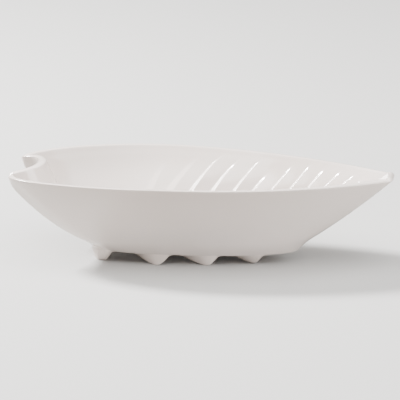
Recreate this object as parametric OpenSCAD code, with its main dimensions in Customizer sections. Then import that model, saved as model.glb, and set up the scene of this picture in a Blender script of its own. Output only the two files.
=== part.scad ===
// A leaf-shaped bowl in glazed white ceramic, cast as one shell and stood on
// eight solid foot ridges that follow the leaf's side veins.
// The leaf's tip points along +X and its heart-shaped stem end along -X.
// The origin is on the table, below the middle of the bowl's outline.

/* [Leaf outline] */
// Length of the leaf from its lobes to its tip
leaf_l = 319; // [307:1:331]
// Greatest width of the leaf
leaf_w = 161.5; // [155:0.5:168]
// Distance from the lobes to the widest place
widest_x = 111.5; // [105.5:0.5:117.5]
// Depth of the heart-shaped notch between the lobes
notch_d = 19.5; // [17.5:0.5:21.5]
// Distance between the ends of the two lobes
lobe_gap = 66; // [62:1:70]
// Width of the rounded tip where its curve begins
tip_w = 28; // [26:1:30]
// Length of the rounded tip
tip_l = 3.25; // [3:0.25:4]

/* [Shell] */
// Height of the rim above the table
rim_h = 77.4; // [72.4:0.5:82.4]
// How far the rim of the lobes lies below the rim's highest stretch
lobe_drop = 2.6; // [0:0.2:5]
// How far the rim curls down at the end of a lobe
lobe_curl = 4.6; // [3:0.2:6]
// How far the rim dips before the tip
tip_drop = 1.6; // [0:0.2:3]
// How far the rim rises again in the notch
notch_rise = 4.2; // [2:0.2:5.4]
// Thickness of the wall
wall_t = 5; // [4:0.25:5.5]
// Thickness of the floor
floor_t = 6.5; // [5.5:0.25:7.5]
// Length of the flat base
base_l = 174; // [168:1:180]
// Width of the flat base
base_w = 61; // [57:1:65]
// Distance from the lobes to the base
base_x = 65.8; // [62.8:0.5:68.8]
// Width of the steep flank round the base
flank_w = 7.2; // [6.4:0.2:8.4]
// Height of the steep flank round the base
flank_h = 8.2; // [7:0.2:9.4]

/* [Veins] */
// Height of a side vein's step above the wall
vein_h = 2.8; // [1.5:0.1:3.4]
// Depth of the sunken midrib
midrib_d = 1.8; // [0.8:0.1:2.4]
// Width of the sunken midrib
midrib_w = 12; // [9:0.5:15]

/* [Foot ridges] */
// Height of the base above the table
foot_h = 9.2; // [8:0.2:10.4]
// Distance between the ridges of the two halves at the midrib
foot_gap = 9; // [7:0.5:12]
// Width of the flat that a ridge rests on
foot_flat = 2.4; // [1.6:0.1:3.2]

/* [Hidden] */

// Angle of the leaf's sides to its axis where the tip begins
tip_angle = 30.7;

// Places along a half outline run from 0 at the notch to 1 at the tip.
// The rim's four curves and the base's two meet at these places.
rim_break_shares = [0, 0.187, 0.453, 0.907, 1];
base_break_shares = [0, 0.453, 1];

// Rim: how far the curves' handles reach, as shares of the stretch they bend
notch_handle_shares = [0.94, 0.364];
lobe_handle_shares = [0.49, 0.486];
side_handle_shares = [0.571, 0.108];
tip_handle_shares = [1.2, 0.6];
// Base: where it is widest, and how far its curves' handles reach
base_widest_share = 0.345;
base_handle_shares = [0.66, 0.64, 0.52, 0.7];

// How the flank's width changes along the half outline
flank_width_shares = [[0, 1.1], [0.08, 1.3], [0.16, 1.7], [0.25, 1.75],
                      [0.35, 1.25], [0.453, 1], [1, 1]];
// How hollow the wall's profile is, at places along the half outline
hollow_shares = [[0, 0.57], [0.187, 0.57], [0.453, 0.124], [1, 0.17]];
// The stretch beside the notch in which the rim rises
notch_reach_share = 0.253;
// The reach of the curl at the end of a lobe, along the half outline
curl_reach_share = 0.024;
// Where the rim's dip towards the tip begins, and its length
dip_shares = [0.4, 0.72];

// Side veins: where each one meets the rim
vein_shares = [0.484, 0.514, 0.539, 0.565, 0.594, 0.621,
               0.649, 0.678, 0.710, 0.751, 0.797, 0.838];
// The first veins are fainter than the rest
faint_shares = [0.3, 0.6];
// How far a vein leans back towards the stem on its way down the wall
lean_shares = [[0, 0], [0.3, 0.1], [0.484, 0.115], [0.56, 0.055],
               [0.65, 0], [0.72, -0.045], [0.8, -0.01], [0.9, 0], [1, 0]];
// Where a vein reaches the midrib, as shares of the base's length
midrib_shares = [[0, 0.06], [0.45, 0.11], [0.55, 0.26], [0.65, 0.55],
                 [0.75, 0.73], [0.85, 0.85], [1, 0.93]];
// A vein's step: its width at the top and the foot of the wall, as shares of
// the distance to the next vein, the share that its columns take outside, and
// its slope behind the crest as [distance, height] shares
step_shares = [0.07, 0.32];
outer_step_share = 0.19;
slope_shares = [[0, 1], [0.22, 0.76], [0.46, 0.5]];
// The height on the wall at which the steps end, and where they are full
step_top_share = 0.96;
step_full_share = 0.56;

// The crease between flank and wall is rounded over these shares of the two
crease_shares = [0.7, 0.1];
crease_row_shares = [0, 0.3, 0.65, 1];
// Rows of the shell, as shares of the wall's height
outer_row_shares = [0.25, 0.45, 0.65, 0.85, 1];
inner_row_shares = [0.95, 0.88, 0.8, 0.71, 0.61, 0.5, 0.39, 0.27, 0.15];
// Rows of the fillet at the foot of the wall and of the floor
fillet_row_shares = [0.25, 0.5, 0.75, 1];
floor_row_shares = [0.35, 0.65];
// How much of the way to the midrib the fillet takes
fillet_reach_share = 0.3;
// Angles of the rows that round the rim
rim_angles = [40, 90, 140, 180];
// Places of the columns in the plain stretch at the stem, closer together round
// the lobe's end, and the number of columns in the plain stretch at the tip
stem_column_shares = [0, 0.08, 0.16, 0.23, 0.29, 0.335, 0.365, 0.39, 0.412, 0.434,
                      0.459, 0.49, 0.53, 0.58, 0.65, 0.73, 0.82, 0.91, 1];
tip_columns = 6;

// Foot ridges: where toe, crest and heel lie on the base's outline
foot_shares = [[0.06, 0.176, 0.262], [0.366, 0.447, 0.489],
               [0.507, 0.588, 0.626], [0.634, 0.738, 0.775]];
// How far a ridge leans towards the stem on its way to the midrib
foot_lean_shares = [0.05, 0.7, 0.9, 0.5];
// How far in from the base's edge a ridge first meets the table
foot_setback_shares = [0.06, 0.05, 0.14, 0.55];
// How much further in its toe does
foot_toe_setback_share = 0.9;
// A ridge's width beside the midrib as a share of its width at the edge
foot_taper_shares = [0.7, 0.6, 0.7, 0.95];
// The crest's width as a share of the flat's
foot_crest_shares = [2.2, 1, 1, 1];
// How the toe's slope falls from the crest, as a power: 1 is straight
foot_toe_power_shares = [2.6, 1.2, 1.2, 1.3];
// A ridge's section: places on the toe, and [reach, depth] shares of the heel
toe_section_shares = [1, 0.85, 0.65, 0.45, 0.28, 0.14];
heel_section_shares = [[0.2, 0.93], [0.5, 0.6], [0.8, 0.14], [1, 0]];
// A ridge's depth beside the midrib
foot_end_share = 0.75;
// Where along a ridge its sections lie
foot_station_shares = [0, 0.01, 0.03, 0.08, 0.16, 0.26, 0.38, 0.52, 0.68, 0.84, 1];
// Where along a ridge its crest leaves the table
foot_lift_share = 0.72;

// Small difference in place that slopes are measured with
slope_step = 0.002;

// Arithmetic
function clamp(s) = min(max(s, 0), 1);
function smooth(s) = let (c = clamp(s)) c * c * (3 - 2 * c);
function blend(a, b, s) = a + (b - a) * s;
function unit(v) = v / norm(v);
function flip(p) = [p.x, -p.y, p.z];
function bezier(p, s) = pow(1 - s, 3) * p[0] + 3 * pow(1 - s, 2) * s * p[1]
                      + 3 * (1 - s) * s * s * p[2] + s * s * s * p[3];
function bezier_corner(a, corner, b, s) =
    pow(1 - s, 2) * a + 2 * s * (1 - s) * corner + s * s * b;

// The point at place u of a chain of curves that meet at the given places.
// Past either end the chain is continued by its mirror image in the axis.
function chain(curves, breaks, u) =
    let (v = u < 0 ? -u : u > 1 ? 2 - u : u,
         k = max([for (i = [0 : len(curves) - 1]) if (breaks[i] <= v) i]),
         p = bezier(curves[k], (v - breaks[k]) / (breaks[k + 1] - breaks[k])))
    v == u ? p : [p.x, -p.y];

// The rim's half outline: notch, lobe, side and tip
lobe_y = lobe_gap / 2;
half_w = leaf_w / 2;
side_l = leaf_l - widest_x;
tip_start = [leaf_l - tip_l, tip_w / 2];
tip_way = [cos(tip_angle), -sin(tip_angle)];
rim_curves = [
    [[notch_d, 0],
     [notch_d * 0.9, lobe_y * notch_handle_shares[0]],
     [0, lobe_y * (1 - notch_handle_shares[1])],
     [0, lobe_y]],
    [[0, lobe_y],
     [0, blend(lobe_y, half_w, lobe_handle_shares[0])],
     [widest_x * (1 - lobe_handle_shares[1]), half_w],
     [widest_x, half_w]],
    [[widest_x, half_w],
     [widest_x + side_l * side_handle_shares[0], half_w],
     tip_start - tip_way * side_l * side_handle_shares[1],
     tip_start],
    [tip_start,
     tip_start + tip_way * tip_l * tip_handle_shares[0],
     [leaf_l, tip_w / 2 * tip_handle_shares[1]],
     [leaf_l, 0]]];
function rim_point(u) = chain(rim_curves, rim_break_shares, u);

// The flat base's half outline
base_half = base_w / 2;
base_wide_x = base_x + base_l * base_widest_share;
base_end_x = base_x + base_l;
base_curves = [
    [[base_x, 0],
     [base_x, base_half * base_handle_shares[0]],
     [blend(base_wide_x, base_x, base_handle_shares[1]), base_half],
     [base_wide_x, base_half]],
    [[base_wide_x, base_half],
     [blend(base_wide_x, base_end_x, base_handle_shares[2]), base_half],
     [base_end_x, base_half * base_handle_shares[3]],
     [base_end_x, 0]]];
function base_point(u) = chain(base_curves, base_break_shares, u);

// Height of the rim's outer edge: it drops at the lobes, curls down at their
// ends, dips before the tip and rises in the notch
edge_h = rim_h - wall_t * 0.8;
function rim_height(u) =
    let (s = rim_point(u).x / leaf_l,
         far = dip_shares[0])
    edge_h - lobe_drop * pow(max(far - s, 0) / far, 3)
           - tip_drop * sin(180 * max(s - far, 0) / dip_shares[1])
           + notch_rise * smooth(1 - abs(u) / notch_reach_share)
           - lobe_curl * exp(-pow((abs(u) - rim_break_shares[1]) / curl_reach_share, 2));

// Outer face of the wall at place u, from the flank's top (w = 0) to the rim
// (w = 1). Its profile is hollow by a share that changes along the outline.
function flank_point(u) =
    let (b = base_point(u),
         d = base_point(u + slope_step) - base_point(u - slope_step),
         v = u > 1 ? 2 - u : abs(u))
    b + unit([-d.y, d.x]) * flank_w * lookup(v, flank_width_shares);
function wall_point(u, w) =
    let (b = flank_point(u),
         p = b + (rim_point(u) - b) * w,
         low = foot_h + flank_h,
         hollow = lookup(u > 1 ? 2 - u : abs(u), hollow_shares))
    [p.x, p.y, blend(low, rim_height(u > 1 ? 2 - u : u), w - hollow * w * (1 - w))];
function crease_point(u, s) =
    let (b = base_point(u), corner = wall_point(u, 0))
    bezier_corner(blend(corner, [b.x, b.y, foot_h], crease_shares[0]), corner,
                  wall_point(u, crease_shares[1]), s);
function wall_up(u, w) =
    unit(wall_point(u, w + slope_step) - wall_point(u, w - slope_step));
function wall_inward(u, w) =
    let (n = cross(wall_point(u + slope_step, w) - wall_point(u - slope_step, w),
                   wall_up(u, w)))
    unit(n) * sign(n.z);

// The rim is a half round between the two faces of the wall
function rim_round_point(u, angle) =
    let (n = wall_inward(u, 1))
    wall_point(u, 1) + wall_t / 2 * (n - n * cos(angle) + wall_up(u, 1) * sin(angle));

// Columns of the shell, each [place, height of its step, how far it is drawn
// back at the foot of the wall, strength of its vein]. A vein has a column at
// the foot of its step, one on its crest and others on the slope behind it.
last_vein = len(vein_shares) - 1;
function vein_pitch(k) = vein_shares[min(k + 1, last_vein)] - vein_shares[min(k, last_vein - 1)];
function vein_strength(k) = k < len(faint_shares) ? faint_shares[k] : 1;
vein_columns = [for (k = [0 : last_vein])
    let (p = vein_pitch(k), strength = vein_strength(k))
    each concat([[vein_shares[k], 0, p, strength]],
                [for (s = slope_shares) [vein_shares[k] + s[0] * p, s[1], 0, strength]])];
stem_stop = vein_shares[0] - vein_pitch(0);
tip_go = vein_shares[last_vein] + vein_pitch(last_vein);
columns = concat(
    [for (s = stem_column_shares) [stem_stop * s, 0, 0, 0]],
    vein_columns,
    [for (i = [0 : tip_columns]) [blend(tip_go, 1, i / tip_columns), 0, 0, 0]]);

// The midrib is sunk into the floor and fades out half-way up the wall
floor_h = foot_h + floor_t;
function sink(p) =
    let (near = smooth(1 - abs(p.y) / (midrib_w / 2)),
         low = smooth(1 - (p.z - floor_h) / (floor_h * 2)))
    [p.x, p.y, p.z - midrib_d * near * low];

// How high the steps stand at a share w of the wall's height
function step_rise(c, w) = vein_h * c[1] * c[3] * smooth((step_top_share - w)
                         / (step_top_share - step_full_share));
// Place of a column on the inner wall at a share w of its height, and on the
// outer wall, where it runs straight down
function column_place(c, w) =
    c[0] - lookup(c[0], lean_shares) * (1 - w)
         - c[2] * blend(step_shares[1], step_shares[0], w);
function outer_place(c) = c[0] - c[2] * outer_step_share;
function inner_wall_point(c, w) =
    let (u = column_place(c, w))
    wall_point(u, w) + wall_inward(u, w) * (wall_t + step_rise(c, w));

// Foot of the inner wall, the corner that its fillet rounds, and the midrib
inner_foot = inner_row_shares[len(inner_row_shares) - 1];
function midrib_point(c) =
    [base_x + base_l * lookup(outer_place(c), midrib_shares), 0, floor_h];
function foot_frame(c) =
    let (u = column_place(c, inner_foot),
         n = wall_inward(u, inner_foot),
         e = wall_point(u, inner_foot) + n * wall_t,
         t = wall_up(u, inner_foot),
         corner = e - t * (e.z - floor_h) / t.z,
         m = midrib_point(c))
    [e, corner, blend(corner, m, fillet_reach_share), m, n];
function fillet_point(c, s) =
    let (f = foot_frame(c), rise = step_rise(c, inner_foot))
    bezier_corner(f[0], f[1], f[2], s)
    + unit(blend(f[4], [0, 0, 1], s)) * rise;
function floor_point(c, s) =
    let (f = foot_frame(c), rise = step_rise(c, inner_foot))
    blend(f[2], f[3], s) + [0, 0, 1] * rise * (1 - s);

// The shell as rings of points: up the outside, over the rim, down the inside
// and across the floor to the midrib
half_rows = concat(
    [[for (c = columns) let (b = base_point(outer_place(c))) [b.x, b.y, foot_h]]],
    [for (s = crease_row_shares) [for (c = columns) crease_point(outer_place(c), s)]],
    [for (w = outer_row_shares) [for (c = columns) wall_point(outer_place(c), w)]],
    [for (a = rim_angles) [for (c = columns) rim_round_point(outer_place(c), a)]],
    [for (w = inner_row_shares) [for (c = columns) sink(inner_wall_point(c, w))]],
    [for (s = fillet_row_shares) [for (c = columns) sink(fillet_point(c, s))]],
    [for (s = floor_row_shares) [for (c = columns) sink(floor_point(c, s))]]);
last_column = len(columns) - 1;
ring = 2 * last_column;
function whole_ring(row) =
    concat(row, [for (i = [last_column - 1 : -1 : 1]) flip(row[i])]);
shell_rows = len(half_rows);
shell_points = concat([for (row = half_rows) each whole_ring(row)],
                      [for (c = columns) sink(midrib_point(c))]);

// The leaf's middle, which stands on the origin
outline_xs = [for (p = shell_points) p.x];
middle_x = (min(outline_xs) + max(outline_xs)) / 2;

// Faces between two rings, and between the last ring and the midrib
function on_ring(row, i) = row * ring + (i + ring) % ring;
function on_midrib(i) = shell_rows * ring + i;
shell_faces = concat(
    [[for (i = [ring - 1 : -1 : 0]) on_ring(0, i)]],
    [for (row = [0 : shell_rows - 2], i = [0 : ring - 1])
        each [[on_ring(row, i), on_ring(row + 1, i + 1), on_ring(row + 1, i)],
              [on_ring(row, i), on_ring(row, i + 1), on_ring(row + 1, i + 1)]]],
    [for (i = [0 : last_column - 1], side = [1, -1])
        let (a = on_ring(shell_rows - 1, i * side),
             b = on_ring(shell_rows - 1, (i + 1) * side),
             m = on_midrib(i),
             n = on_midrib(i + 1))
        each (i == 0
            ? (side > 0 ? [[a, b, m], [b, n, m]] : [[a, m, b], [b, m, n]])
            : (side > 0 ? [[a, n, m], [a, b, n]] : [[a, m, n], [a, n, b]]))]);

module leaf_bowl() {
    color("ivory")
        translate([-middle_x, 0, 0])
            polyhedron(points = shell_points, faces = shell_faces, convexity = 8);
}

// Depth of a ridge along its length, as a share of the base's height: it rounds
// down to the table, stands on it, and lifts towards the midrib. The toe, whose
// share t is above zero, reaches its full depth further in than the crest.
function foot_depth(k, s, t) =
    let (back = foot_setback_shares[k] + foot_toe_setback_share * t)
    s < back
        ? sin(90 * s / back)
        : blend(1, foot_end_share,
                smooth((s - max(back, foot_lift_share)) / (1 - foot_lift_share)));

// A foot ridge is lofted from a stretch of the base's outline to a shorter
// stretch beside the midrib. Its sections have a long toe towards the stem,
// a flat crest that stands on the table and a steep heel.
function foot_section(k, s) =
    let (f = foot_shares[k],
         crest_out = base_point(f[1]),
         y_in = foot_gap / 2,
         x_in = crest_out.x - (crest_out.y - y_in) * foot_lean_shares[k],
         toe_u = f[1] - f[0],
         heel_u = f[2] - f[1],
         toe_x = crest_out.x - base_point(f[0]).x,
         heel_x = base_point(f[2]).x - crest_out.x,
         half_crest = foot_flat / 2 * foot_crest_shares[k])
    concat(
        [for (t = toe_section_shares)
            let (out = base_point(f[1] - toe_u * t),
                 in = [x_in - toe_x * foot_taper_shares[k] * t, y_in],
                 p = blend(out, in, s),
                 fall = 1 - pow(t, foot_toe_power_shares[k]))
            [p.x - half_crest * (1 - t), p.y, foot_h * (1 - foot_depth(k, s, t) * fall)]],
        [for (e = [-1, 1])
            let (p = blend(crest_out, [x_in, y_in], s))
            [p.x + e * half_crest, p.y, foot_h * (1 - foot_depth(k, s, 0))]],
        [for (t = heel_section_shares)
            let (out = base_point(f[1] + heel_u * t[0]),
                 in = [x_in + heel_x * foot_taper_shares[k] * t[0], y_in],
                 p = blend(out, in, s))
            [p.x + half_crest * (1 - t[0]), p.y,
             foot_h * (1 - foot_depth(k, s, 0) * t[1])]]);

module foot_ridge(side, k) {
    back = foot_setback_shares[k];
    stations = concat([for (s = foot_station_shares) if (s < back) s], [back],
                      [for (s = foot_station_shares) if (s > back) s]);
    sections = [for (s = stations) foot_section(k, s)];
    n = len(sections[0]);
    last = len(stations) - 1;
    points = [for (section = sections) each section];
    faces = concat(
        [[for (i = [0 : n - 1]) i]],
        [[for (i = [n - 1 : -1 : 0]) last * n + i]],
        [for (j = [0 : last - 1], i = [0 : n - 1])
            let (a = j * n + i, b = j * n + (i + 1) % n)
            each [[a, b + n, b], [a, a + n, b + n]]]);
    color("ivory")
        translate([-middle_x, 0, 0])
            mirror([0, side < 0 ? 1 : 0, 0])
                polyhedron(points = points, faces = faces, convexity = 4);
}

leaf_bowl();
foot_ridge(1, 0);  // foot_ridge_left_1
foot_ridge(1, 1);  // foot_ridge_left_2
foot_ridge(1, 2);  // foot_ridge_left_3
foot_ridge(1, 3);  // foot_ridge_left_4
foot_ridge(-1, 0);  // foot_ridge_right_1
foot_ridge(-1, 1);  // foot_ridge_right_2
foot_ridge(-1, 2);  // foot_ridge_right_3
foot_ridge(-1, 3);  // foot_ridge_right_4
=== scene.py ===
# Leaf-shaped bowl in glazed white ceramic. Lengths in the dictionaries are in
# millimetres, and meshes are made in metres. The leaf's tip points along +X.
import math
import bpy
import numpy as np
from mathutils import Matrix, Vector


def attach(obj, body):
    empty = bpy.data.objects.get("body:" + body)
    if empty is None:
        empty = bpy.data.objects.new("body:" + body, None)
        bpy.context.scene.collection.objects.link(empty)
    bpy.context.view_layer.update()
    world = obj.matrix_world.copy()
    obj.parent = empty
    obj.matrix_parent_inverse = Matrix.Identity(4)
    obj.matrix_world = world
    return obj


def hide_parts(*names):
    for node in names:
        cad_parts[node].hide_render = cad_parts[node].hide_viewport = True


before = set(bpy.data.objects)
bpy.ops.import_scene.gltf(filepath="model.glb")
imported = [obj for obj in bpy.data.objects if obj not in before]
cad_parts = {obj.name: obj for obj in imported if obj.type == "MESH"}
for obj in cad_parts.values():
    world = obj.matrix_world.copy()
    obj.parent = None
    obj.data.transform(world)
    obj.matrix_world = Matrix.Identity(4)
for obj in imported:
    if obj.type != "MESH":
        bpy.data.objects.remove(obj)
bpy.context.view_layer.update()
print("stage: the packed model is loaded")

# Shared maths

mm = 0.001                    # metres
lookupSamples = 15            # in the window over which a table is smoothed


def smoothRise(s):
    # rises from 0 to 1 with a flat start and a flat end: 3s^2 - 2s^3
    c = np.clip(s, 0.0, 1.0)
    return c * c * (3.0 - 2.0 * c)


def bell(s):
    # a bell curve, 1 at its middle: e to the power of -s^2
    return np.exp(-s ** 2)


def quadraticAt(start, middle, end, s):
    # quadratic Bezier curve: (1-s)^2 start + 2s(1-s) middle + s^2 end
    return (1 - s) ** 2 * start + 2 * s * (1 - s) * middle + s ** 2 * end


def softLookup(x, table, window):
    # straight lines between the table's points, averaged over a short window
    # with raised-cosine weights, so that the corners are rounded
    offsets = np.linspace(-1.0, 1.0, lookupSamples + 2)[1:-1]
    weights = 1.0 + np.cos(np.pi * offsets)
    points = np.asarray(table, float)
    places = np.asarray(x)[..., None] + offsets * window
    values = np.interp(places, points[:, 0], points[:, 1])
    return (values * weights).sum(-1) / weights.sum()


def steps(start, end, count):
    # even steps from start to end, without the start itself
    return np.linspace(start, end, count + 1)[1:]


def vectorsOf(x, y, z):
    # three arrays or numbers as one array of vectors
    return np.stack(np.broadcast_arrays(x, y, z), -1)


def unitVectors(v):
    # each vector divided by its own length
    return v / np.linalg.norm(v, axis=-1, keepdims=True)


def foldBack(u):
    # the outline runs from 0 to 1 and its mirror image past either end: this is
    # the place between 0 and 1 that u mirrors
    return np.where(u > 1, 2.0 - u, np.abs(u))


def chainAt(curves, breaks, u):
    # cubic Bezier curves joined end to end, each taking the stretch of u
    # between two breaks; past either end the mirror image in the X axis follows
    v = foldBack(u)
    k = np.clip(np.searchsorted(breaks, v, side="right") - 1, 0, len(curves) - 1)
    s = (v - breaks[k]) / (breaks[k + 1] - breaks[k])
    bernstein = np.stack([(1 - s) ** 3, 3 * (1 - s) ** 2 * s, 3 * (1 - s) * s ** 2, s ** 3], -1)
    p = (bernstein[..., None] * curves[k]).sum(-2)
    return p * np.stack([np.ones_like(v), np.where(u == v, 1.0, -1.0)], -1)


def putMesh(name, points, quads, others=()):
    # points in millimetres become a mesh in metres, with quads as an array and
    # any other faces as lists
    mesh = bpy.data.meshes.new(name)
    faces = quads.tolist() + [list(f) for f in others]
    mesh.from_pydata((points * mm).tolist(), [], faces)
    mesh.validate()
    mesh.update()
    mesh.polygons.foreach_set("use_smooth", np.ones(len(mesh.polygons), bool))
    piece = bpy.data.objects.new(name, mesh)
    bpy.context.scene.collection.objects.link(piece)
    return piece


# The leaf

leaf = {
    "length": 319.0,
    "width": 161.5,
    "widestX": 111.5,
    "notchDepth": 19.5,
    "lobeGap": 66.0,
    "tipWidth": 28.0,
    "tipLength": 3.25,
    "tipAngle": 30.7,
    "rimBreaks": (0.0, 0.187, 0.453, 0.907, 1.0),  # places along the half outline, 0 to 1
    "notchHandles": (0.9, 0.94, 0.636),   # the outline's Bezier handles, as shares
    "lobeHandles": (0.49, 0.514),
    "sideHandles": (0.571, 0.108),
    "tipHandles": (1.2, 0.6),
    "rimHeight": 77.9,
    "levelAt": 0.4,           # share of the length where the drops to both ends begin
    "lobeDrop": 2.6,
    "lobeCurl": 2.0,
    "curlReach": 0.02,        # along the half outline, like every reach below
    "lobeCollar": 5.2,        # height of the steep stretch below the rim at the lobes' ends
    "collarReach": 0.03,
    "collarFoot": 0.93,       # share of the wall's height where it begins
    "tipDrop": 1.6,
    "dropLength": 0.72,       # share of the length that half a wave of it takes
    "tipLow": 2.6,            # how much lower the rim's outer edge lies at the tip
    "tipTilt": 0.65,          # and how far its band is tilted there: 1 is square to the wall
    "tipFrom": 0.5,           # place along the half outline where both begin
    "tipReach": 0.45,
    "tipOverhang": 0.11,      # moves the bowl towards the stem, to centre its rounded rim
    "notchRise": 3.0,
    "notchReach": 0.253,
    "notchSwell": 2.0,        # extra thickness of the rim in the notch
    "swellReach": 0.11,
    "wall": 5.0,
    "rimRise": 0.24,          # height of the rim's rounded band, as a share of the wall
    "levelFrom": 0.8,         # share of the wall's height where its inner face turns level
    "lobeStretch": 0.03,      # half the stretch over which the lobes' ends are smoothed inside
    "stretchReach": 0.05,
    "hollow": ((0.0, 0.57), (0.187, 0.57),   # place, and how far the wall sags there
               (0.453, 0.124), (1.0, 0.17)),
    "floor": 6.5,
    "baseLength": 174.0,
    "baseWidth": 61.0,
    "baseX": 65.8,
    "baseWidest": 0.345,      # share of the base's length where it is widest
    "baseBreaks": (0.0, 0.453, 1.0),
    "baseStemHandles": (0.66, 0.64),
    "baseTipHandles": (0.52, 0.7),
    "flankWidth": 7.2,
    "flankShares": ((0, 1.1), (0.08, 1.3), (0.16, 1.7), (0.25, 1.75),  # place, and share
                    (0.35, 1.25), (0.453, 1), (1, 1)),
    "flankHeight": 8.2,
    "tableWindow": 0.05,      # over which the hollow and the flank's shares are smoothed
    "footHeight": 9.2,
    "creaseRound": (0.7, 0.1),  # shares of flank and wall over which their crease is rounded
    "edgeRound": 1.6,         # rounding of the base's edge
}
lobeY = leaf["lobeGap"] / 2
halfWidth = leaf["width"] / 2
sideLength = leaf["length"] - leaf["widestX"]
halfTip = leaf["tipWidth"] / 2
tipAngle = math.radians(leaf["tipAngle"])
tipWay = np.array([math.cos(tipAngle), -math.sin(tipAngle)])
tipStart = np.array([leaf["length"] - leaf["tipLength"], halfTip])
rimBreaks = np.array(leaf["rimBreaks"])
notchShares, lobeShares = leaf["notchHandles"], leaf["lobeHandles"]
sideShares, tipShares = leaf["sideHandles"], leaf["tipHandles"]
rimCurves = np.array([
    [[leaf["notchDepth"], 0], [leaf["notchDepth"] * notchShares[0], lobeY * notchShares[1]],
     [0, lobeY * notchShares[2]], [0, lobeY]],
    [[0, lobeY], [0, lobeY + (halfWidth - lobeY) * lobeShares[0]],
     [leaf["widestX"] * lobeShares[1], halfWidth], [leaf["widestX"], halfWidth]],
    [[leaf["widestX"], halfWidth], [leaf["widestX"] + sideLength * sideShares[0], halfWidth],
     tipStart - tipWay * sideLength * sideShares[1], tipStart],
    [tipStart, tipStart + tipWay * leaf["tipLength"] * tipShares[0],
     [leaf["length"], halfTip * tipShares[1]], [leaf["length"], 0]]], float)
baseHalf = leaf["baseWidth"] / 2
baseWideX = leaf["baseX"] + leaf["baseLength"] * leaf["baseWidest"]
baseEndX = leaf["baseX"] + leaf["baseLength"]
baseBreaks = np.array(leaf["baseBreaks"])
stemShares, endShares = leaf["baseStemHandles"], leaf["baseTipHandles"]
baseCurves = np.array([
    [[leaf["baseX"], 0], [leaf["baseX"], baseHalf * stemShares[0]],
     [baseWideX + (leaf["baseX"] - baseWideX) * stemShares[1], baseHalf],
     [baseWideX, baseHalf]],
    [[baseWideX, baseHalf], [baseWideX + (baseEndX - baseWideX) * endShares[0], baseHalf],
     [baseEndX, baseHalf * endShares[1]], [baseEndX, 0]]], float)
flankTop = leaf["footHeight"] + leaf["flankHeight"]
floorZ = leaf["footHeight"] + leaf["floor"]
slopeStep = 0.002             # half the stretch over which a slope is taken


def rimPoint(u):
    # the rim's outline in plan: notch, lobe, side and tip
    return chainAt(rimCurves, rimBreaks, u)


def basePoint(u):
    # the flat base's outline in plan
    return chainAt(baseCurves, baseBreaks, u)


def baseOutward(u):
    # unit normal of the base's outline in plan: its tangent turned outwards
    d = basePoint(u + slopeStep) - basePoint(u - slopeStep)
    return unitVectors(np.stack([-d[..., 1], d[..., 0]], -1))


def nearLobe(v, reach):
    # 1 at the lobes' ends, falling off to both sides as a bell curve
    return bell((v - rimBreaks[1]) / reach)


def nearTip(v):
    # rises smoothly from 0 half-way along the outline to 1 just before the tip
    return smoothRise((v - leaf["tipFrom"]) / leaf["tipReach"])


def rimHeight(v):
    # the rim's level, less a cubic drop towards the lobes, half a sine wave of
    # dip before the tip, a bell-shaped curl at the lobes' ends and a smooth
    # fall to the tip, plus a smooth rise in the notch
    s = rimPoint(v)[..., 0] / leaf["length"]
    stemward = np.maximum(leaf["levelAt"] - s, 0) / leaf["levelAt"]
    tipward = np.maximum(s - leaf["levelAt"], 0) / leaf["dropLength"]
    return (leaf["rimHeight"] - leaf["wall"] * leaf["rimRise"]
            - leaf["lobeDrop"] * stemward ** 3
            - leaf["tipDrop"] * np.sin(np.pi * tipward)
            - leaf["lobeCurl"] * nearLobe(v, leaf["curlReach"])
            - leaf["tipLow"] * nearTip(v)
            + leaf["notchRise"] * smoothRise(1 - v / leaf["notchReach"]))


def flankPoint(u):
    # the base's outline moved outwards, square to itself, by the flank's width
    # times its share at that place
    share = softLookup(foldBack(u), leaf["flankShares"], leaf["tableWindow"])
    return basePoint(u) + baseOutward(u) * (leaf["flankWidth"] * share)[..., None]


def wallPoint(u, w):
    # in plan a straight line from the flank to the rim; in height a parabola
    # that sags below the straight line by the hollow's share, with a steeper
    # collar at the lobes' ends, whose height is a quadratic rise. Below w = 0
    # the straight flank runs down to the base's outline at w = -1.
    v = foldBack(u)
    flank, rim, base = flankPoint(u), rimPoint(u), basePoint(u)
    hollow = softLookup(v, leaf["hollow"], leaf["tableWindow"])
    up, down = np.clip(w, 0, None), np.clip(-w, 0, None)
    plan = flank + (rim - flank) * up[..., None] + (base - flank) * down[..., None]
    collar = leaf["lobeCollar"] * nearLobe(v, leaf["collarReach"])
    inCollar = np.clip((up - leaf["collarFoot"]) / (1 - leaf["collarFoot"]), 0, None)
    z = (flankTop + (rimHeight(v) - collar - flankTop) * (up - hollow * up * (1 - up))
         - leaf["flankHeight"] * down + collar * inCollar ** 2)
    return vectorsOf(plan[..., 0], plan[..., 1], z)


def wallUp(u, w):
    # unit tangent of the wall, upwards
    return unitVectors(wallPoint(u, w + slopeStep) - wallPoint(u, w - slopeStep))


def wallInward(u, w):
    # unit normal of the wall, towards the inside, which turns level near the
    # rim, less so towards the tip; the slope along the outline is taken over a
    # longer stretch at the lobes' ends, so that the inner face doesn't fold over
    v = foldBack(u)
    step = slopeStep + leaf["lobeStretch"] * nearLobe(v, leaf["stretchReach"])
    along = wallPoint(u + step, w) - wallPoint(u - step, w)
    n = unitVectors(np.cross(along, wallUp(u, w)))
    level = (smoothRise((w - leaf["levelFrom"]) / (1 - leaf["levelFrom"]))
             * (1 - leaf["tipTilt"] * nearTip(v)))
    return unitVectors(n * vectorsOf(1.0, 1.0, 1 - level))


def notchSwell(u, inward):
    # a level offset towards the inside, bell-shaped along the outline, which
    # makes the rim and the wall thicker in the notch
    level = unitVectors(inward * np.array([1.0, 1.0, 0.0]))
    return level * (leaf["notchSwell"] * bell(u / leaf["swellReach"]))[..., None]


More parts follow.
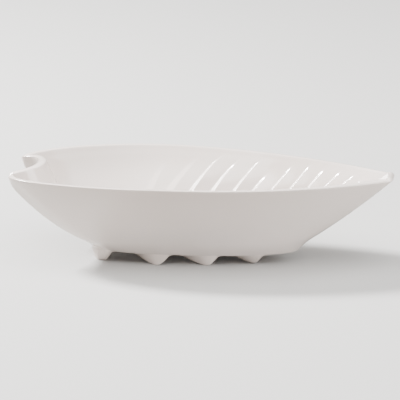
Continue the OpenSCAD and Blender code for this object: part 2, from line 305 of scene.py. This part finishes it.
def wallCrease(u, s):
    # quadratic Bezier curve from the flank to the wall, whose middle control
    # point is on the crease between them
    down, up = leaf["creaseRound"]
    low, middle, top = (wallPoint(u, np.full_like(u, w)) for w in (-down, 0.0, up))
    return quadraticAt(low, middle, top, s[..., None])


print("stage: the leaf's outline and wall are set")

# The veins

veins = {
    "places": (0.484, 0.514, 0.539, 0.565, 0.594, 0.621,  # along the half outline
               0.649, 0.678, 0.710, 0.751, 0.797, 0.838),
    "strengths": (0.3, 0.6, 1, 1, 1, 1, 1, 1, 1, 1, 1, 1),
    "widths": (2.2, 1.8, 1, 1, 1, 1, 1, 1, 1, 1, 1, 1),  # of the steps, as multiples
    "tops": (0.9, 0.93, 1, 0.96, 1, 0.84, 0.96, 1, 0.98, 0.98, 0.96, 0.9),  # of fadeTop
    "flatStep": 0.6,          # share of a straight line in the step's section
    "height": 2.8,
    "stepTop": 0.07,          # width of a step at the rim, as a share of the pitch
    "stepFoot": 0.32,         # and at the foot of the wall
    "fadeTop": 0.96,          # share of the wall's height where the steps end
    "fadeFull": 0.56,         # and where they are full
    "slopePower": 1.1,        # how the relief falls behind a step: 1 is straight
    "lean": ((0, 0), (0.05, 0), (0.3, 0.1), (0.484, 0.115),  # place, and the way towards
             (0.56, 0.053), (0.65, -0.006), (0.72, -0.05),   # the stem from rim to flank
             (0.8, -0.012), (0.9, 0), (1, 0)),
    "leanWindow": 0.04,
    "midribPlaces": ((0, 0.06), (0.45, 0.11), (0.55, 0.26),  # place, and share of the base's
                     (0.65, 0.55), (0.75, 0.73),             # length where it meets the midrib
                     (0.85, 0.85), (1, 0.93)),
    "midribWindow": 0.03,
    "midribDepth": 1.8,
    "midribWidth": 12.0,
    "midribClimb": 2.0,       # how far up it fades out, in heights of the floor
    "fillet": 0.3,            # share of the way to the midrib that the wall's fillet takes
    "innerFoot": 0.15,        # share of the wall's height where the fillet begins
    "stemColumns": 130,
    "stepColumns": 8,
    "slopeColumns": 13,
    "slopeCrowding": 1.25,    # above 1 the slope's columns crowd towards its step
    "tipColumns": 40,
}


def columnShares(count):
    # even shares of one stretch, from 0 up to its end, which is the next one's
    return np.arange(count) / count


def veinColumns():
    # each column is a share q of one stretch: the plain stem end, a vein's
    # step, the slope behind it or the plain tip. Its row gives the stretch's
    # start, the start's lag, its end, the end's lag, q, the height of the
    # relief and the share of the wall it reaches. A lag times a step's width,
    # as a share of the pitch, is how far the place is drawn back.
    places = np.array(veins["places"])
    pitch = np.append(np.diff(places), places[-1] - places[-2])
    strength = np.array(veins["strengths"], float)
    half = pitch * np.array(veins["widths"]) / 2
    tops = veins["fadeTop"] * np.array(veins["tops"])
    rows = []

    def stretch(*parts):
        rows.append(np.stack(np.broadcast_arrays(*parts), -1))

    q = columnShares(veins["stemColumns"])
    stretch(0.0, 0.0, places[0], half[0], q, 0.0, 1.0)
    for k in range(len(places)):
        q = columnShares(veins["stepColumns"])
        rise = smoothRise(q) + (q - smoothRise(q)) * veins["flatStep"]
        stretch(places[k], half[k], places[k], -half[k], q, strength[k] * rise, tops[k])
        q = columnShares(veins["slopeColumns"]) ** veins["slopeCrowding"]
        last = k + 1 == len(places)
        end = places[k] + pitch[k] if last else places[k + 1]
        fall = (1 - q) ** veins["slopePower"]
        stretch(places[k], -half[k], end, 0.0 if last else half[k + 1], q,
                strength[k] * fall, tops[k])
    q = np.append(columnShares(veins["tipColumns"]), 1.0)
    stretch(places[-1] + pitch[-1], 0.0, 1.0, 0.0, q, 0.0, 1.0)
    return np.concatenate(rows)


startPlace, startLag, endPlace, endLag, stretchShare, relief, reliefTop = veinColumns().T


def columnPlace(w):
    # place of every column at the shares w of the wall's height: between the
    # ends of its stretch, which a step's width draws back, and leaning towards
    # the stem on the way down
    width = (veins["stepFoot"] + (veins["stepTop"] - veins["stepFoot"]) * w)[:, None]
    start = startPlace - startLag * width
    end = endPlace - endLag * width
    c = start + (end - start) * stretchShare
    return c, c - softLookup(c, veins["lean"], veins["leanWindow"]) * (1 - w[:, None])


def stepRise(w):
    # the relief's height on every column, faded out below the rim
    fade = smoothRise((reliefTop - w[:, None]) / (veins["fadeTop"] - veins["fadeFull"]))
    return veins["height"] * fade * relief


def sinkMidrib(p):
    # lowers the floor by a smooth groove along the axis, which fades out on its
    # way up the wall
    near = smoothRise(1 - np.abs(p[..., 1]) / (veins["midribWidth"] / 2))
    low = smoothRise(1 - (p[..., 2] - floorZ) / (floorZ * veins["midribClimb"]))
    return p - vectorsOf(0.0, 0.0, veins["midribDepth"] * near * low)


def innerFace(u, w, lift):
    # the outer face moved inwards by lift, along the wall's inward normal, and
    # by the notch's swell
    n = wallInward(u, w)
    return wallPoint(u, w) + n * lift + notchSwell(u, n)


def innerWall(w):
    # the outer face moved inwards by the wall's thickness and the relief
    c, u = columnPlace(w)
    ww = np.broadcast_to(w[:, None], u.shape)
    return innerFace(u, ww, (leaf["wall"] + stepRise(w))[..., None])


def innerFloor(filletShares, floorShares):
    # a quadratic Bezier fillet from the wall's foot, round the corner where the
    # wall's tangent meets the floor's plane, and straight lines on to the midrib
    w = np.array([veins["innerFoot"]])
    c, u = columnPlace(w)
    ww = np.broadcast_to(w[:, None], u.shape)
    n, t = wallInward(u, ww), wallUp(u, ww)
    foot = innerFace(u, ww, leaf["wall"])
    corner = foot - t * ((foot[..., 2:3] - floorZ) / t[..., 2:3])
    midribShare = softLookup(c, veins["midribPlaces"], veins["midribWindow"])
    midrib = vectorsOf(leaf["baseX"] + leaf["baseLength"] * midribShare, 0.0, floorZ)
    far = corner + (midrib - corner) * veins["fillet"]
    rise = stepRise(w)[..., None]
    upward = np.array([0.0, 0.0, 1.0])
    s = filletShares[:, None, None]
    fillet = quadraticAt(foot, corner, far, s) + unitVectors(n * (1 - s) + upward * s) * rise
    s = floorShares[:, None, None]
    flat = far + (midrib - far) * s + upward * rise * (1 - s)
    return fillet, flat, midrib[0]


print("stage: the veins are set")

# The bowl's mesh, as rings of points up the section and round the outline

section = {
    "edgeRings": 4,
    "edgeTop": 0.86,          # share of the flank, counted down, where its rounded edge ends
    "creaseRings": 11,
    "wallRings": 23,
    "rimRings": 14,
    "topRings": 6,            # inside, from the rim down to the share topFoot
    "topFoot": 0.84,
    "innerRings": 33,
    "filletRings": 12,
    "floorRings": 8,
    "paintedShadePower": 1.3,        # how the painted shade rises up the outside
    "insidePaintedShade": 0.8,       # painted shade of the glaze, just inside the rim
    "insideFrom": 0.55,       # share of the wall's height where it begins there
    "insideAlong": (0.2, 0.15),  # place along the half outline where it begins, and its reach
    "tipPaintedShadeLoss": 0.75,         # how much of the painted shade is lost towards the tip
    "tipAlong": (0.45, 0.4),  # where that begins, and its reach
}


def outerRings(c):
    # from the underside by a quadratic Bezier curve round the base's edge, and
    # on up the flank, the crease and the wall
    def rows(shares):
        # the same columns once for each share, and the shares to go with them
        return np.broadcast_arrays(np.repeat(c, len(shares), 0), shares[:, None])

    wallShares = steps(leaf["creaseRound"][1], 1, section["wallRings"])
    outside = np.concatenate([wallPoint(*rows(np.array([-section["edgeTop"]]))),
                              wallCrease(*rows(np.linspace(0, 1, section["creaseRings"]))),
                              wallPoint(*rows(wallShares))])
    edge = basePoint(c[0])
    under = edge + unitVectors(np.array([baseWideX, 0.0]) - edge) * leaf["edgeRound"]
    edge, under = (vectorsOf(p[:, 0], p[:, 1], leaf["footHeight"]) for p in (edge, under))
    s = np.linspace(0, 1, section["edgeRings"], endpoint=False)[:, None, None]
    return np.concatenate([quadraticAt(under, edge, outside[:1], s), outside]), wallShares


def rimRings(c, angles):
    # half a flat ellipse from the wall's outer face, at angle 0, to its inner
    # face: half the thickness times 1 - cos across and the rise times sin up
    one = np.ones_like(c)
    n, t, top = wallInward(c, one), wallUp(c, one), wallPoint(c, one)
    a = angles[:, None, None]
    return (top + (leaf["wall"] * n + notchSwell(c, n)) / 2 * (1 - np.cos(a))
            + leaf["wall"] * leaf["rimRise"] * t * np.sin(a))


def paintedShadeOf(c, lowRings, wallShares, angles, innerShares, floorRings):
    # painted shade on the glaze: it darkens the outside upwards by a power of the
    # height, less so towards the tip, is gone on top of the rim by a squared cosine,
    # so that the rim's top stays light, and fades again down the inside, where it begins smoothly
    # beyond the lobes
    inside, foot = section["insidePaintedShade"], section["insideFrom"]
    upSection = np.concatenate([
        np.zeros(lowRings),
        wallShares ** section["paintedShadePower"],
        np.cos(angles) ** 2 * np.where(angles < np.pi / 2, 1, inside),
        inside * smoothRise((innerShares - foot) / (1 - foot)),
        np.zeros(floorRings)])
    start, reach = section["tipAlong"]
    paintedShadeField = upSection[:, None] * (1 - section["tipPaintedShadeLoss"] * smoothRise((c - start) / reach))
    start, reach = section["insideAlong"]
    rimTop = lowRings + len(wallShares) + len(angles) // 2
    paintedShadeField[rimTop:] *= smoothRise((c - start) / reach)
    return paintedShadeField


def ringFaces(rowCount, ring, count):
    # quads between neighbouring rings, a strip of quads from each half of the
    # last ring to the midrib, with two triangles at each end, and the base
    r = np.arange(rowCount - 1)[:, None] * ring
    i = np.arange(ring)[None, :]
    j = (i + 1) % ring
    quads = np.stack([r + i, r + ring + i, r + ring + j, r + j], -1).reshape(-1, 4)
    lastRing = (rowCount - 1) * ring
    m = rowCount * ring + np.arange(count)
    left = lastRing + np.arange(count)
    right = lastRing + (-np.arange(count)) % ring
    strips = [np.stack([left[1:-1], m[1:-1], m[2:], left[2:]], -1),
              np.stack([right[1:-1], right[2:], m[2:], m[1:-1]], -1)]
    ends = [[left[0], m[0], left[1]], [left[1], m[0], m[1]],
            [right[0], right[1], m[0]], [right[1], m[1], m[0]]]
    return np.concatenate([quads] + strips), ends + [list(range(ring))]


def bothHalves(half, mirror):
    # the half outline's rings and, backwards and without its ends, their image
    return np.concatenate([half, half[:, -2:0:-1] * mirror], 1)


def makeBowl():
    # rings of points from the base's edge up the outside, over the rim, down
    # the inside and across the floor to the midrib
    c = columnPlace(np.ones(1))[0]
    outside, wallShares = outerRings(c)
    angles = steps(0, np.pi, section["rimRings"])
    innerShares = np.concatenate([
        steps(1, section["topFoot"], section["topRings"]),
        steps(section["topFoot"], veins["innerFoot"], section["innerRings"])])
    fillet, flat, midrib = innerFloor(steps(0, 1, section["filletRings"]),
                                      steps(0, 1, section["floorRings"] + 1)[:-1])
    half = np.concatenate([outside, rimRings(c, angles), sinkMidrib(innerWall(innerShares)),
                           sinkMidrib(fillet), sinkMidrib(flat)])
    rings = bothHalves(half, np.array([1.0, -1.0, 1.0]))
    points = np.concatenate([rings.reshape(-1, 3), sinkMidrib(midrib)])
    points[:, 0] -= middleX
    quads, others = ringFaces(*rings.shape[:2], len(midrib))
    piece = putMesh("leafBowl", points, quads, others)
    # painted shade per point, darker up the outer wall and just inside the rim, for the glaze to
    # mix in
    paintedShadeField = bothHalves(paintedShadeOf(c[0], len(outside) - len(wallShares), wallShares, angles,
                               innerShares, len(fillet) + len(flat)), 1.0)
    values = np.concatenate([paintedShadeField.reshape(-1), np.zeros(len(midrib))])
    attribute = piece.data.attributes.new("paintedShade", "FLOAT", "POINT")
    attribute.data.foreach_set("value", values)
    return piece


middleX = leaf["length"] / 2 + leaf["tipOverhang"]
bowl = makeBowl()
print("stage: the bowl is made,", len(bowl.data.polygons), "faces")

# The foot ridges

feet = {
    "places": ((0.06, 0.196, 0.272), (0.366, 0.447, 0.489),  # of toe, crest and heel
               (0.507, 0.588, 0.626), (0.634, 0.738, 0.775)),
    "lean": (0.05, 0.7, 0.9, 0.5),        # towards the stem, for each length inwards
    "setback": (0.24, 0.05, 0.14, 0.55),  # share of a ridge's length to its full depth
    "toeSetback": (0.35, 0.9, 0.9, 0.9),  # how much further in the toe reaches its depth
    "bulge": (2.8, 0.0, 0.0, 0.0),        # how far a ridge stands out from the base's edge
    "bulgeSlope": 1.6,        # how fast the bulge grows from toe and heel to the crest
    "taper": (0.7, 0.6, 0.7, 0.95),       # width at the inner end, as a share
    "crest": (2.2, 1.0, 1.0, 1.0),        # widths of the flat crest, as multiples of flat
    "toePower": (2.6, 1.2, 1.2, 1.3),
    "heel": ((0, 1), (0.2, 0.93), (0.5, 0.6), (0.8, 0.14), (1, 0)),  # section behind the crest
    "heelWindow": 0.06,
    "gap": 9.0,               # between the two rows
    "flat": 2.4,              # width of the crest
    "flatShare": 0.02,        # of the section, on both sides of the crest, that is widened
    "fullShare": 0.03,        # and that has the full depth
    "innerDepth": 0.75,       # at the inner end, as a share
    "lift": 0.72,             # share of a ridge's length where its depth begins to fall
    "overlap": (5.4, 1.4, 1.4, 1.4),      # how far a ridge reaches up into the base
    "setbackRows": 14,
    "setbackCrowding": 1.3,   # above 1 the rows crowd towards the base's edge
    "innerRows": 34,
    "toeColumns": 34,
    "heelColumns": 26,
}


def footSurface(k, s, q):
    # a ridge over two parameters: s runs from the base's edge to the midrib
    # and q from toe (-1) to heel (1). In plan it is the blend of a stretch of
    # the base's outline with a straight stretch beside the midrib. Its depth is
    # the section's share at q times the share along s, which rises by a quarter
    # sine wave over the setback and falls smoothly beside the midrib.
    toeU, crestU, heelU = feet["places"][k]
    crest = basePoint(np.array([crestU]))[0]
    yIn = feet["gap"] / 2
    xIn = crest[0] - (crest[1] - yIn) * feet["lean"][k]
    toeX = crest[0] - basePoint(np.array([toeU]))[0, 0]
    heelX = basePoint(np.array([heelU]))[0, 0] - crest[0]
    toe, heel = np.clip(-q, 0, 1), np.clip(q, 0, 1)
    u = crestU - (crestU - toeU) * toe + (heelU - crestU) * heel
    bulge = feet["bulge"][k] * smoothRise(feet["bulgeSlope"] * (1 - np.abs(q)))
    out = basePoint(u) + baseOutward(u) * bulge[..., None]
    inX = xIn + feet["taper"][k] * (heelX * heel - toeX * toe)
    halfFlat = feet["flat"] / 2 * feet["crest"][k]
    widened = halfFlat * np.clip(q / feet["flatShare"], -1, 1) * (1 - np.abs(q))
    back = feet["setback"][k] + feet["toeSetback"][k] * toe
    lift = np.maximum(back, feet["lift"])
    along = np.where(s < back, np.sin(np.pi / 2 * np.clip(s / back, 0, 1)),
                     1 + (feet["innerDepth"] - 1) * smoothRise((s - lift) / (1 - feet["lift"])))
    across = np.where(q < 0, 1 - toe ** feet["toePower"][k],
                      softLookup(heel, feet["heel"], feet["heelWindow"]))
    across = np.where(np.abs(q) <= feet["fullShare"], 1.0, across)
    return vectorsOf(out[..., 0] * (1 - s) + inX * s + widened,
                     out[..., 1] * (1 - s) + yIn * s,
                     leaf["footHeight"] * (1 - along * across))


def makeFoot(name, k, side):
    # the ridge's lower surface and the same points lifted into the base, joined
    # all round
    back, flat = feet["setback"][k], feet["flatShare"]
    edgeShares = np.linspace(0, 1, feet["setbackRows"], endpoint=False)
    s = np.concatenate([back * edgeShares ** feet["setbackCrowding"],
                        np.linspace(back, 1, feet["innerRows"])])
    q = np.concatenate([np.linspace(-1, -flat, feet["toeColumns"]),
                        np.linspace(flat, 1, feet["heelColumns"])])
    low = footSurface(k, *np.meshgrid(s, q, indexing="ij"))
    high = vectorsOf(low[..., 0], low[..., 1], leaf["footHeight"] + feet["overlap"][k])
    rows, cols = low.shape[:2]
    points = np.concatenate([low.reshape(-1, 3), high.reshape(-1, 3)])
    points *= np.array([1.0, side, 1.0])
    points[:, 0] -= middleX
    i = (np.arange(rows - 1)[:, None] * cols + np.arange(cols - 1)[None, :]).reshape(-1)
    lower = np.stack([i, i + 1, i + cols + 1, i + cols], -1)
    upper = lower[:, ::-1] + rows * cols
    border = np.concatenate([np.arange(cols - 1), np.arange(rows - 1) * cols + cols - 1,
                             (rows - 1) * cols + np.arange(cols - 1, 0, -1),
                             np.arange(rows - 1, 0, -1) * cols])
    after = np.roll(border, -1)
    wall = np.stack([border, border + rows * cols, after + rows * cols, after], -1)
    quads = np.concatenate([lower, upper, wall])
    if side < 0:
        quads = quads[:, ::-1]  # the mirror image would face inwards
    return putMesh(name, points, quads)


footPieces = []
for side, sideName in ((1, "left"), (-1, "right")):
    for k in range(len(feet["places"])):
        ending = f"{sideName}_{k + 1}"
        footPieces.append((makeFoot("footRidge_" + ending, k, side), "foot_ridge_" + ending))
print("stage: the foot ridges are made")

# Materials

glaze = {
    "colour": (0.62, 0.552, 0.513, 1.0),
    "thickColour": (0.60, 0.532, 0.486, 1.0),
    # painted shade: the darker, warmer tone that the mesh's painted shade mixes in
    "paintedShadeColour": (0.42, 0.358, 0.32, 1.0),
    # painted shade: the feet take darker, warmer tones than the bowl, as shade under it
    "footShadedColour": (0.60, 0.524, 0.48, 1.0),
    "footShadedThickColour": (0.575, 0.497, 0.443, 1.0),
    "clouds": (14.0, 3.0),    # scale and detail of the noise, as in gloss, waves and peel
    "cloudRange": (0.35, 0.65),
    "gloss": (60.0, 4.0),
    "roughness": (0.12, 0.22),
    "waves": (38.0, 1.0),
    "waveBump": (0.05, 0.002),   # strength, and depth in metres
    "peel": (420.0, 2.0),
    "peelBump": (0.035, 0.0004),
    "refraction": 1.5,
    "coat": (0.3, 0.06),      # weight and roughness
}


def glazeMaterial(name, colour, thickColour):
    # a clear-bright white glaze: two tones in soft clouds under the painted shade
    # that the mesh carries, roughness that varies with a second noise, long shallow
    # waves and a fine orange peel
    material = bpy.data.materials.new(name)
    material.use_nodes = True
    nodes, links = material.node_tree.nodes, material.node_tree.links
    nodes.clear()
    output = nodes.new("ShaderNodeOutputMaterial")
    shader = nodes.new("ShaderNodeBsdfPrincipled")
    place = nodes.new("ShaderNodeTexCoord")
    links.new(shader.outputs["BSDF"], output.inputs["Surface"])

    def noise(scaleAndDetail):
        n = nodes.new("ShaderNodeTexNoise")
        n.inputs["Scale"].default_value, n.inputs["Detail"].default_value = scaleAndDetail
        links.new(place.outputs["Object"], n.inputs["Vector"])
        return n.outputs["Fac"]

    def bump(strengthAndDepth, height):
        n = nodes.new("ShaderNodeBump")
        n.inputs["Strength"].default_value, n.inputs["Distance"].default_value = strengthAndDepth
        links.new(height, n.inputs["Height"])
        return n

    ramp = nodes.new("ShaderNodeValToRGB")
    for stop, position, tone in zip(ramp.color_ramp.elements, glaze["cloudRange"],
                                    (thickColour, colour)):
        stop.position = position
        stop.color = tone
    links.new(noise(glaze["clouds"]), ramp.inputs["Fac"])
    # the mesh's painted shade mixes the darker tone into the colour
    paintedShadeField = nodes.new("ShaderNodeAttribute")
    paintedShadeField.attribute_name = "paintedShade"
    mix = nodes.new("ShaderNodeMix")
    mix.data_type = "RGBA"
    colourSockets = [i for i in mix.inputs if i.type == "RGBA"]
    links.new(paintedShadeField.outputs["Fac"], mix.inputs["Factor"])
    links.new(ramp.outputs["Color"], colourSockets[0])
    colourSockets[1].default_value = glaze["paintedShadeColour"]
    links.new([o for o in mix.outputs if o.type == "RGBA"][0], shader.inputs["Base Color"])
    gloss = nodes.new("ShaderNodeMapRange")
    gloss.inputs["To Min"].default_value, gloss.inputs["To Max"].default_value = glaze["roughness"]
    links.new(noise(glaze["gloss"]), gloss.inputs["Value"])
    links.new(gloss.outputs["Result"], shader.inputs["Roughness"])
    waves = bump(glaze["waveBump"], noise(glaze["waves"]))
    peel = bump(glaze["peelBump"], noise(glaze["peel"]))
    links.new(waves.outputs["Normal"], peel.inputs["Normal"])
    links.new(peel.outputs["Normal"], shader.inputs["Normal"])
    shader.inputs["IOR"].default_value = glaze["refraction"]
    shader.inputs["Coat Weight"].default_value = glaze["coat"][0]
    shader.inputs["Coat Roughness"].default_value = glaze["coat"][1]
    return material


bowlGlaze = glazeMaterial("bowlGlaze", glaze["colour"], glaze["thickColour"])
# the feet's glaze carries painted shade, darker and warmer than the bowl's
footShadedGlaze = glazeMaterial("footShadedGlaze", glaze["footShadedColour"], glaze["footShadedThickColour"])
bowl.data.materials.append(bowlGlaze)
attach(bowl, "root")
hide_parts("leaf_bowl")
for piece, node in footPieces:
    piece.data.materials.append(footShadedGlaze)
    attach(piece, "root")
    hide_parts(node)
print("stage: the glaze is on")

# Floor, light and camera

studio = {                    # in metres, where no unit is named
    "floorReach": 9.0,
    "floorColour": (0.38, 0.373, 0.362, 1.0),
    "floorRoughness": 0.9,
    "worldColour": (1.0, 1.0, 1.0, 1.0),
    "worldStrength": 0.2,
    "lamps": (               # name, place, power, size
        ("sideLamp", (-1.4, 0.5, 1.3), 230.0, 0.38),
        ("topLamp", (0.0, -0.6, 2.2), 135.0, 2.4),
        ("backLamp", (1.0, 1.3, 1.4), 14.0, 1.4),
        ("rightLamp", (1.5, -0.6, 0.8), 48.0, 1.2),
        ("leftCard", (-1.6, 0.1, 0.2), 16.0, 0.8),
        ("frontCard", (0.3, -2.2, 0.2), 32.0, 1.0),
    ),
    "lampAim": (0.0, 0.0, 0.04),
    "distance": 3.245,
    "azimuth": 7.07,          # degrees
    "elevation": 14.5,
    "photoPixels": 400,
    "pixelsPerMillimetre": 1.1925,
    "aimPixel": (203.5, 213.06),
    "aimHeight": 38.385,      # millimetres
    "sensorWidth": 36.0,      # millimetres
    "clipEnd": 60.0,
}


def plainMaterial(name, colour, roughness):
    # one colour and one roughness, for the floor
    material = bpy.data.materials.new(name)
    material.use_nodes = True
    shader = material.node_tree.nodes["Principled BSDF"]
    shader.inputs["Base Color"].default_value = colour
    shader.inputs["Roughness"].default_value = roughness
    return material


corners = np.array([[-1, -1, 0], [1, -1, 0], [1, 1, 0], [-1, 1, 0]]) * studio["floorReach"]
floor = putMesh("floor", corners / mm, np.array([[0, 1, 2, 3]]))
floor.data.materials.append(
    plainMaterial("floorPaper", studio["floorColour"], studio["floorRoughness"]))

world = bpy.data.worlds.new("studioWorld")
world.use_nodes = True
background = world.node_tree.nodes["Background"]
background.inputs["Color"].default_value = studio["worldColour"]
background.inputs["Strength"].default_value = studio["worldStrength"]
bpy.context.scene.world = world


def addLamp(name, place, power, size):
    # a square area lamp that shines at the bowl
    light = bpy.data.lights.new(name, "AREA")
    light.energy = power
    light.size = size
    lamp = bpy.data.objects.new(name, light)
    bpy.context.scene.collection.objects.link(lamp)
    lamp.location = place
    way = Vector(studio["lampAim"]) - Vector(place)
    lamp.rotation_euler = way.to_track_quat("-Z", "Y").to_euler()


for lampValues in studio["lamps"]:
    addLamp(*lampValues)

azimuth, elevation = math.radians(studio["azimuth"]), math.radians(studio["elevation"])
rightWay = Vector((math.cos(azimuth), math.sin(azimuth), 0))
backWay = Vector((math.sin(azimuth) * math.cos(elevation),
                  -math.cos(azimuth) * math.cos(elevation), math.sin(elevation)))
upWay = backWay.cross(rightWay)
pixelSize = mm / studio["pixelsPerMillimetre"]
aim = (Vector((0, 0, studio["aimHeight"] * mm))
       + rightWay * (studio["photoPixels"] / 2 - studio["aimPixel"][0]) * pixelSize
       + upWay * (studio["aimPixel"][1] - studio["photoPixels"] / 2) * pixelSize)
cameraData = bpy.data.cameras.new("photoCamera")
cameraData.sensor_width = studio["sensorWidth"]
cameraData.lens = (studio["sensorWidth"] * studio["distance"]
                   / (studio["photoPixels"] * pixelSize))
cameraData.clip_end = studio["clipEnd"]
camera = bpy.data.objects.new("photoCamera", cameraData)
bpy.context.scene.collection.objects.link(camera)
turn = Matrix((rightWay, upWay, backWay)).transposed().to_4x4()
camera.matrix_world = Matrix.Translation(aim + backWay * studio["distance"]) @ turn
bpy.context.scene.camera = camera
print("stage: the studio is set")
